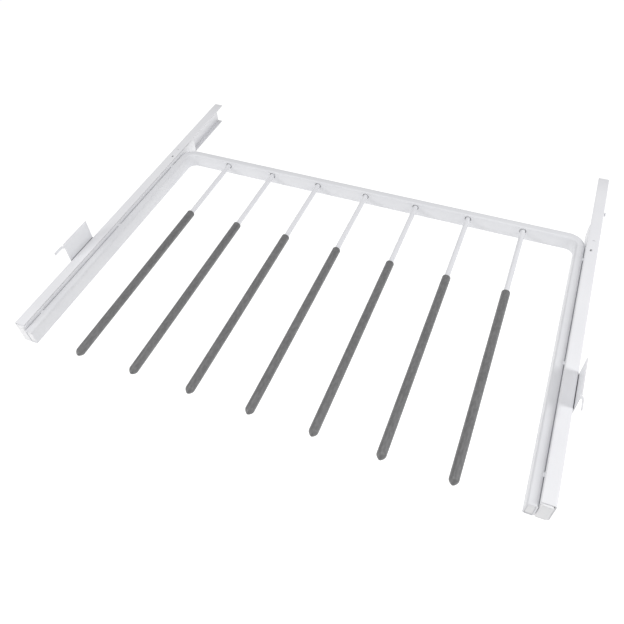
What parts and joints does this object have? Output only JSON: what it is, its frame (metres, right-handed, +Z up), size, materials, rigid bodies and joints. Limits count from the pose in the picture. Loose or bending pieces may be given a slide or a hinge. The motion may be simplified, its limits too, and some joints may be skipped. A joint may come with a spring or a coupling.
{
  "type": "pull out trouser rack",
  "caption": "Pull-out trouser rack: a U-shaped tube frame carries sleeved rods and rolls forward on two side runners that hang from brackets.",
  "frame": {"origin": "midway between the two hanger tongues, at the middle of their lower edges, which is where the rack hangs", "axes": "+Z up, +X to the right along the crossbar, -Y towards the front, the way the rack pulls out"},
  "size_m": [0.5626, 0.4557, 0.0524],
  "materials": {
    "white_paint": "smooth semi-matt white powder coat",
    "grey_sleeve": "matt dark grey soft non-slip sleeve",
    "white_plastic": "satin white moulding",
    "nylon": "smooth off-white nylon",
    "zinc": "bright zinc plate"
  },
  "bodies": {
    "rails": {"left_channel": "white_paint", "left_front_axle": "zinc", "left_bracket": "white_paint", "left_bracket_rivet_1": "zinc", "left_bracket_rivet_2": "zinc", "left_rear_stud": "white_paint", "right_channel": "white_paint", "right_front_axle": "zinc", "right_bracket": "white_paint", "right_bracket_rivet_1": "zinc", "right_bracket_rivet_2": "zinc", "right_rear_stud": "white_paint"},
    "rack": {"frame_bar": "white_paint", "rod_1": "white_paint", "rod_2": "white_paint", "rod_3": "white_paint", "rod_4": "white_paint", "rod_5": "white_paint", "rod_6": "white_paint", "rod_7": "white_paint", "sleeve_1": "grey_sleeve", "sleeve_2": "grey_sleeve", "sleeve_3": "grey_sleeve", "sleeve_4": "grey_sleeve", "sleeve_5": "grey_sleeve", "sleeve_6": "grey_sleeve", "sleeve_7": "grey_sleeve", "left_arm_plug": "white_plastic", "left_runner": "white_paint", "left_weld_1": "white_paint", "left_weld_2": "white_paint", "left_weld_3": "white_paint", "left_front_cap": "white_plastic", "left_rear_axle": "zinc", "right_arm_plug": "white_plastic", "right_runner": "white_paint", "right_weld_1": "white_paint", "right_weld_2": "white_paint", "right_weld_3": "white_paint", "right_front_cap": "white_plastic", "right_rear_axle": "zinc"},
    "left_front_wheel": {"left_front_roller": "nylon"},
    "left_rear_wheel": {"left_rear_roller": "nylon"},
    "right_front_wheel": {"right_front_roller": "nylon"},
    "right_rear_wheel": {"right_rear_roller": "nylon"}
  },
  "joints": [
    {"name": "rack_slide", "type": "slide", "parent": "rails", "child": "rack", "axis": [0, -1, 0], "range_m": [0, 0.3]},
    {"name": "left_front_spin", "type": "hinge", "parent": "rails", "child": "left_front_wheel", "pos_m": [-0.2711, -0.07485, -0.0316], "axis": [1, 0, 0], "continuous": true},
    {"name": "left_rear_spin", "type": "hinge", "parent": "rack", "child": "left_rear_wheel", "pos_m": [-0.2711, 0.25395, -0.0334], "axis": [1, 0, 0], "continuous": true},
    {"name": "right_front_spin", "type": "hinge", "parent": "rails", "child": "right_front_wheel", "pos_m": [0.2711, -0.07485, -0.0316], "axis": [1, 0, 0], "continuous": true},
    {"name": "right_rear_spin", "type": "hinge", "parent": "rack", "child": "right_rear_wheel", "pos_m": [0.2711, 0.25395, -0.0334], "axis": [1, 0, 0], "continuous": true}
  ],
  "couplings": [
    {"joint": "left_front_spin", "follows": "rack_slide", "rad_per_m": 105.26},
    {"joint": "left_rear_spin", "follows": "rack_slide", "rad_per_m": 79.365},
    {"joint": "right_front_spin", "follows": "rack_slide", "rad_per_m": 105.26},
    {"joint": "right_rear_spin", "follows": "rack_slide", "rad_per_m": 79.365}
  ]
}
